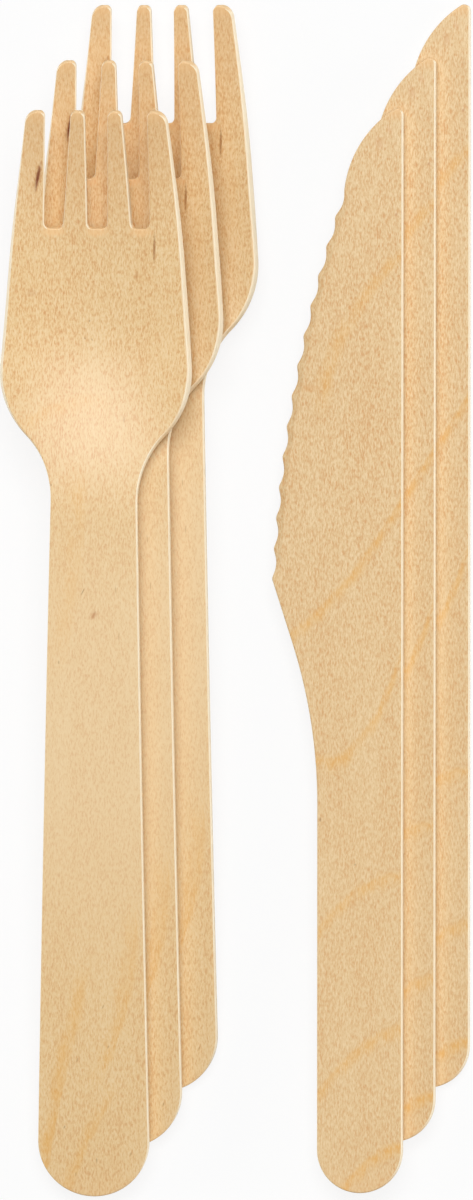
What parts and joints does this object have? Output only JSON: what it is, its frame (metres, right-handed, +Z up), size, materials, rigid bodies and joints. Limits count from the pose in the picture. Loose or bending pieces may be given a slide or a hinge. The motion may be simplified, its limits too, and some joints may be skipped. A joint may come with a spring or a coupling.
{
  "type": "wooden cutlery set",
  "caption": "Disposable birch forks and knives, each kind fanned out in a low stack, the forks pressed to a shallow bowl and the knives flat with a scalloped edge.",
  "frame": {"origin": "the middle of the set's extent in X and Y, on the surface that it lies on", "axes": "+Z up; +Y from the handle ends to the tine tips and blade tips; +X from the forks to the knives"},
  "size_m": [0.0704, 0.1808, 0.016],
  "materials": {
    "fork_front": "matte",
    "fork_middle": "matte",
    "fork_back": "matte",
    "knife_front": "matte",
    "knife_middle": "matte",
    "knife_back": "matte"
  },
  "bodies": {
    "root": {"fork_front": "fork_front", "fork_middle": "fork_middle", "fork_back": "fork_back", "knife_front": "knife_front", "knife_middle": "knife_middle", "knife_back": "knife_back"}
  },
  "joints": []
}
